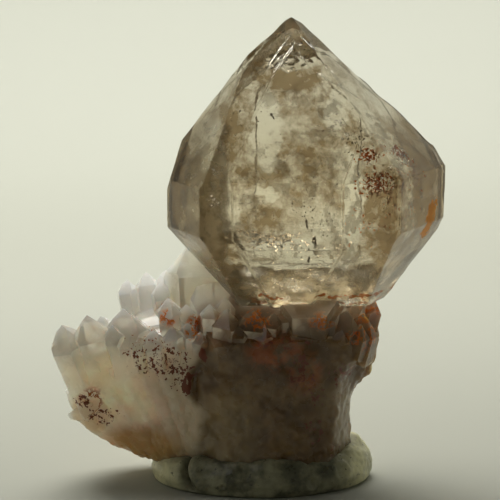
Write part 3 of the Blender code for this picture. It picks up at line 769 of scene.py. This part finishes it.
honey = lightest(spot(-15.0, 5.0, 7.0, 4.0), spot(-21.5, 9.0, 3.0, 4.0, 0.5)) * (1.0 - block)
colour = (honey * 0.9).tint(colour, (0.57, 0.32, 0.10))
warm = spot(-5.8, 20.6, 2.6, 2.6) * (cloudy * 0.6 + 0.4)
colour = (warm * 0.8).tint(colour, (0.55, 0.33, 0.19))
red = lightest(spot(1.6, 18.6, 4.4, 3.2), spot(5.2, 15.8, 2.8, 3.4, 0.8)) * stone.noise(1.6, 4.0, 0.65).rises(0.36, 0.58)
colour = (red * 0.8).tint(colour, (0.36, 0.095, 0.018))
orange_at = lightest(
    spot(7.4, 22.0, 2.2, 1.3), spot(3.6, 24.2, 3.2, 0.7), spot(12.4, 20.0, 2.8, 2.6), spot(13.7, 22.5, 2.0, 2.2),
    spot(-11.9, 21.6, 1.6, 1.5), spot(-8.2, 21.0, 1.6, 1.6), spot(-0.4, 22.2, 2.4, 1.3), spot(-21.0, 11.5, 1.8, 2.0),
)
line = stone.noise(2.4, 4.0, 0.6) - 0.5
line = (line * line).rises(0.0012, 0.0003)
orange = orange_at * lightest(stone.noise(1.1, 4.0, 0.7).rises(0.56, 0.62), line)
colour = orange.tint(colour, (0.42, 0.125, 0.016))
specks_at = lightest(
    spot(-14.6, 18.4, 4.0, 2.4, 0.8), spot(-12.4, 16.6, 5.4, 3.6, 0.95), spot(-10.4, 15.0, 4.0, 3.2, 0.85),
    spot(-8.9, 14.0, 0.9, 2.2, 1.5), spot(-6.9, 17.8, 0.7, 1.6, 1.6), spot(10.4, 15.2, 3.2, 2.4, 0.9), spot(9.4, 12.6, 2.2, 1.6, 0.7),
    spot(-22.4, 11.4, 1.8, 1.2, 1.1), spot(4.6, 16.0, 2.0, 3.4, 0.9), spot(6.6, 13.0, 2.0, 3.0, 0.75),
    spot(6.4, 8.0, 2.6, 2.2, 0.8), spot(-19.8, 9.2, 3.4, 2.2, 0.9), spot(9.8, 5.2, 1.8, 2.0, 0.7), spot(2.6, 19.6, 6.0, 1.8, 0.75),
    spot(-14.5, 19.5, 6.0, 1.2, 0.6), spot(5.0, 15.0, 3.0, 2.0, 0.7),
)
grains = lightest(stone.noise(1.0, 3.0, 0.7), stone.noise(0.6, 2.0, 0.6, offset=(3.0, 1.0, 2.0)) - 0.02)
dark = (specks_at * 0.24 + grains).rises(0.77, 0.81)
colour = dark.tint(colour, (0.17, 0.038, 0.012))
fine_cracks = stone.noise(1.4, 5.0, 0.7)
bump = stone.make("Bump", {}, {"Strength": 0.35, "Distance": 0.00015, "Height": fine_cracks + cloudy * 0.6})
dull = stone.noise(2.4, 3.0).rises(0.3, 0.7) * 0.22 + 0.16 + dark * 0.3
body = stone.make("BsdfPrincipled", {}, {
    "Base Color": colour,
    "Roughness": dull,
    "IOR": QUARTZ_IOR,
    "Subsurface Weight": 1.0,
    "Subsurface Radius": (1.0, 0.85, 0.75),
    "Subsurface Scale": 0.007,
    "Normal": bump,
})
tip_colour = x_mm.rises(-6.0, -2.5).tint((0.98, 0.945, 0.85), (0.80, 0.68, 0.51))
tip_colour = (lightest(orange, dark)).tint(tip_colour, (0.40, 0.12, 0.03))
tip = stone.make("BsdfPrincipled", {}, {
    "Base Color": tip_colour,
    "Roughness": stone.noise(3.0, 3.0).rises(0.4, 0.8) * 0.12 + 0.04,
    "IOR": QUARTZ_IOR,
    "Transmission Weight": 1.0,
    "Normal": bump,
})
height = z_mm - x_mm * 0.10 + drift * 3.0
clear = height.rises(17.5, 21.5) * (1.0 - lightest(orange, dark)) * (0.62 - block * 0.1 - rear_left * 0.30 - side_crystal * 0.15)
output(stone, stone.make("MixShader", {}, {0: clear, 1: body, 2: tip}))


def eased(points, faces, share, rounds):
    """Each point moves towards the mean of its neighbours, by its share, so many times over."""
    ends = np.concatenate([faces[:, [0, 1]], faces[:, [1, 2]], faces[:, [2, 0]]])
    many = np.bincount(ends[:, 0], minlength=len(points)).clip(1)[:, None]
    for _ in range(rounds):
        near = np.stack([np.bincount(ends[:, 0], points[ends[:, 1], axis], len(points)) for axis in range(3)], axis=1)
        points = points + share[:, None] * (near / many - points)
    return points


def smooth_step(value, low, high):
    """0 below low, 1 above high, eased between."""
    share = np.clip((value - low) / (high - low), 0.0, 1.0)
    return share * share * (3.0 - 2.0 * share)


# Up to this height, from left to right, the thick crystals are broken and worn smooth.
MASS_TOP_X = (-26.0, -22.0, -15.0, -8.0, -6.5, 0.0, 10.0, 11.5, 13.5)
MASS_TOP_Z = (9.5, 12.8, 14.6, 16.2, 18.2, 19.2, 19.2, 17.0, 12.5)

points, faces = skin_of("quartz_cluster", 0.36, 0.0)
worn = 1.0 - smooth_step(points[:, 2] - np.interp(points[:, 0], MASS_TOP_X, MASS_TOP_Z), -1.6, 0.6)
worn *= 1.0 - 0.6 * smooth_step(points[:, 1], 2.0, 5.0)
from_corner = np.hypot((points[:, 0] + 23.6) / 3.6, (points[:, 2] - 10.6) / 2.8)
worn *= smooth_step(from_corner, 0.75, 1.15)
points = eased(points, faces, 0.7 * worn, 110)
normals = point_normals(points, faces)
x, y, z = points.T
lobe = 1.0 - smooth_step(x, -9.5, -6.0)
fan_left = np.arctan2(x + 5.0, z + 9.0)
fan_right = np.arctan2(x - 1.0, z + 70.0)
ribs_left = np.sin(fan_left * 62.0 + 0.5 * np.sin(z * 0.5)) + 0.6 * np.sin(fan_left * 143.0 + 1.0)
ribs_right = np.sin(fan_right * 140.0 + 0.4 * np.sin(z * 0.4)) + 0.5 * np.sin(fan_right * 330.0)
relief = worn * (0.10 * lobe * ribs_left + 0.05 * (1.0 - lobe) * ribs_right)
relief += worn * (0.16 * ripples(points, 6.0, 11) + 0.07 * ripples(points, 2.2, 12) + 0.03 * ripples(points, 1.0, 13))
foot = 1.0 - smooth_step(z - 0.25 * (x + 24.0), 6.0, 10.0)
relief += worn * foot * 0.10 * np.abs(ripples(points, 1.6, 14))
seam = -7.2 - 1.4 * np.exp(-(((z - 14.0) / 3.0) ** 2)) + 0.25 * np.sin(z)
notch = np.exp(-(((x - seam) / 0.6) ** 2)) * smooth_step(-y, 1.0, 3.0)
relief -= worn * notch * (0.12 + 0.55 * smooth_step(z, 9.0, 14.0))
relief += (1.0 - worn) * 0.02 * ripples(points, 2.0, 15)
points = kept_inside(points + normals * relief[:, None])
cluster = piece_from("lilac_cluster", points, faces)
cluster.data.set_sharp_from_angle(angle=math.radians(22.0))
wears(cluster, milky)
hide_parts("quartz_cluster")
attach(cluster, "root")

# The putty: a wad of grey-green mineral tack, rolled, pinched and pressed round the broken foot.
# It keeps the finger's ridges, small dents and one deep fold, and its right end is rolled up.
PUTTY_HALF_WIDTH = 14.1
PUTTY_FRONT = 9.0
PUTTY_REAR = 8.6
PUTTY_HEIGHT = 4.6
PUTTY_SIDE_RISE = (0.0, 0.0, 0.05, 0.12, 0.35, 0.60, 0.82, 0.95, 1.0, 0.97, 0.9)
PUTTY_SIDE_INSET = (1.0, 0.06, 0.025, 0.015, 0.0, 0.02, 0.07, 0.13, 0.20, 0.30, 1.0)
PUTTY_WAVES = ((3, 0.5, 0.6), (5, 0.35, 2.0), (8, 0.25, 0.0))


def putty_wad(columns=520, rows=96):
    """The wad's surface: round the rim, and from the middle of the underside over to the middle of the top.

    The radius is an oval with slow waves times the side's profile. From it the folds, dents
    and ridges are pressed in along the radius.
    """
    around = np.linspace(0.0, 2 * math.pi, columns, endpoint=False)
    at = np.linspace(0.0, len(PUTTY_SIDE_RISE) - 1.0, rows)
    knots = np.arange(len(PUTTY_SIDE_RISE))
    rise = np.interp(at, knots, PUTTY_SIDE_RISE)
    inset = np.interp(at, knots, PUTTY_SIDE_INSET)
    for _ in range(6):
        rise[12:-1] = (rise[11:-2] + rise[12:-1] * 2 + rise[13:]) / 4
        inset[12:-1] = (inset[11:-2] + inset[12:-1] * 2 + inset[13:]) / 4
    wave = sum(strength * np.sin(many * around + start) for many, strength, start in PUTTY_WAVES)
    depth = np.where(np.sin(around) < 0, PUTTY_FRONT, PUTTY_REAR)
    height = PUTTY_HEIGHT * (1.0 + 0.09 * wave + 0.10 * np.cos(around - 0.5))
    x = np.outer(1.0 - inset, PUTTY_HALF_WIDTH * (1.0 + 0.02 * wave) * np.cos(around))
    y = np.outer(1.0 - inset, depth * (1.0 + 0.02 * wave) * np.sin(around))
    z = np.outer(rise, height)
    return np.stack([x, y, z], axis=-1)


grid = putty_wad()
rows, columns = grid.shape[:2]
faces = sheet_faces(rows - 1, columns, closed=True) + 0
points = grid[:-1].reshape(-1, 3)
ring = np.arange(columns)
top = np.stack([ring + (rows - 2) * columns, (ring + 1) % columns + (rows - 2) * columns, np.full(columns, len(points))], axis=1)
points = np.concatenate([points, [[0.0, 0.0, grid[-1, :, 2].mean()]]])
triangles = np.concatenate([faces[:, [0, 1, 2]], faces[:, [0, 2, 3]], top])
low = np.isclose(np.abs(points[:, 0]) + np.abs(points[:, 1]), 0.0) & (points[:, 2] < 1.0)
triangles = np.where(low[triangles], 0, triangles)
triangles = triangles[(triangles[:, 0] != triangles[:, 1]) & (triangles[:, 1] != triangles[:, 2]) & (triangles[:, 0] != triangles[:, 2])]
normals = point_normals(points, triangles)
x, y, z = points.T
turn = np.degrees(np.arctan2(y / PUTTY_FRONT, x / PUTTY_HALF_WIDTH)) % 360.0
side = smooth_step(z, 0.15, 1.0)
fold = np.exp(-(((turn - 234.0 + 3.2 * z) / 2.4) ** 2))
lip = np.exp(-(((turn - 241.0 + 3.2 * z) / 3.8) ** 2))
press = -1.5 * fold + 0.3 * lip
for at_turn, at_z, size, dent in ((297.0, 1.7, 0.55, -0.30), (262.0, 2.7, 0.35, -0.2), (236.0, 3.2, 0.3, -0.25), (250.0, 1.4, 0.25, -0.2), (318.0, 2.6, 0.7, -0.25)):
    away = np.hypot((turn - at_turn) * 0.2, z - at_z)
    press += dent * np.exp(-((away / size) ** 2)) - 0.5 * dent * np.exp(-(((away - 1.5 * size) / (0.5 * size)) ** 2))
ridges = np.sin((np.hypot((turn - 205.0) * 0.2, (z - 2.0) * 0.7) + 0.2 * ripples(points, 3.0, 21)) * 2 * math.pi / 0.48)
near_ridges = np.exp(-(((turn - 210.0) / 16.0) ** 2)) + 0.5 * np.exp(-(((turn - 300.0) / 25.0) ** 2))
press += 0.035 * ridges * near_ridges + 0.12 * ripples(points, 3.5, 22) + 0.035 * ripples(points, 1.0, 23)
points = kept_inside(points + normals * (side * press)[:, None])
putty = piece_from("putty_wad", points, triangles)
tack, soft = material("mineral putty")
smear = soft.noise(2.6, 4.0, 0.6).rises(0.3, 0.7)
tack_colour = smear.tint((0.068, 0.068, 0.040), (0.330, 0.318, 0.208))
# Painted light: both ends of the wad are tinted pale yellow where they catch the light.
ends = soft.make("SeparateXYZ", {}, {0: soft.make("TexCoord", out=3)}, out=0)
ends = ends.maths("ABSOLUTE", ends).rises(0.0085, 0.0125) * (smear * 0.5 + 0.5)
tack_colour = ends.tint(tack_colour, (0.92, 0.88, 0.55))
grime = soft.noise(0.8, 3.0, 0.7).rises(0.62, 0.70)
tack_colour = (grime * 0.7).tint(tack_colour, (0.02, 0.02, 0.015))
skin = soft.make("Bump", {}, {"Strength": 0.4, "Distance": 0.0001, "Height": soft.noise(0.5, 4.0, 0.65)})
output(soft, soft.make("BsdfPrincipled", {}, {
    "Base Color": tack_colour,
    "Roughness": smear * 0.18 + 0.27,
    "Normal": skin,
}))
wears(putty, tack)
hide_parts("putty_foot")
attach(putty, "root")
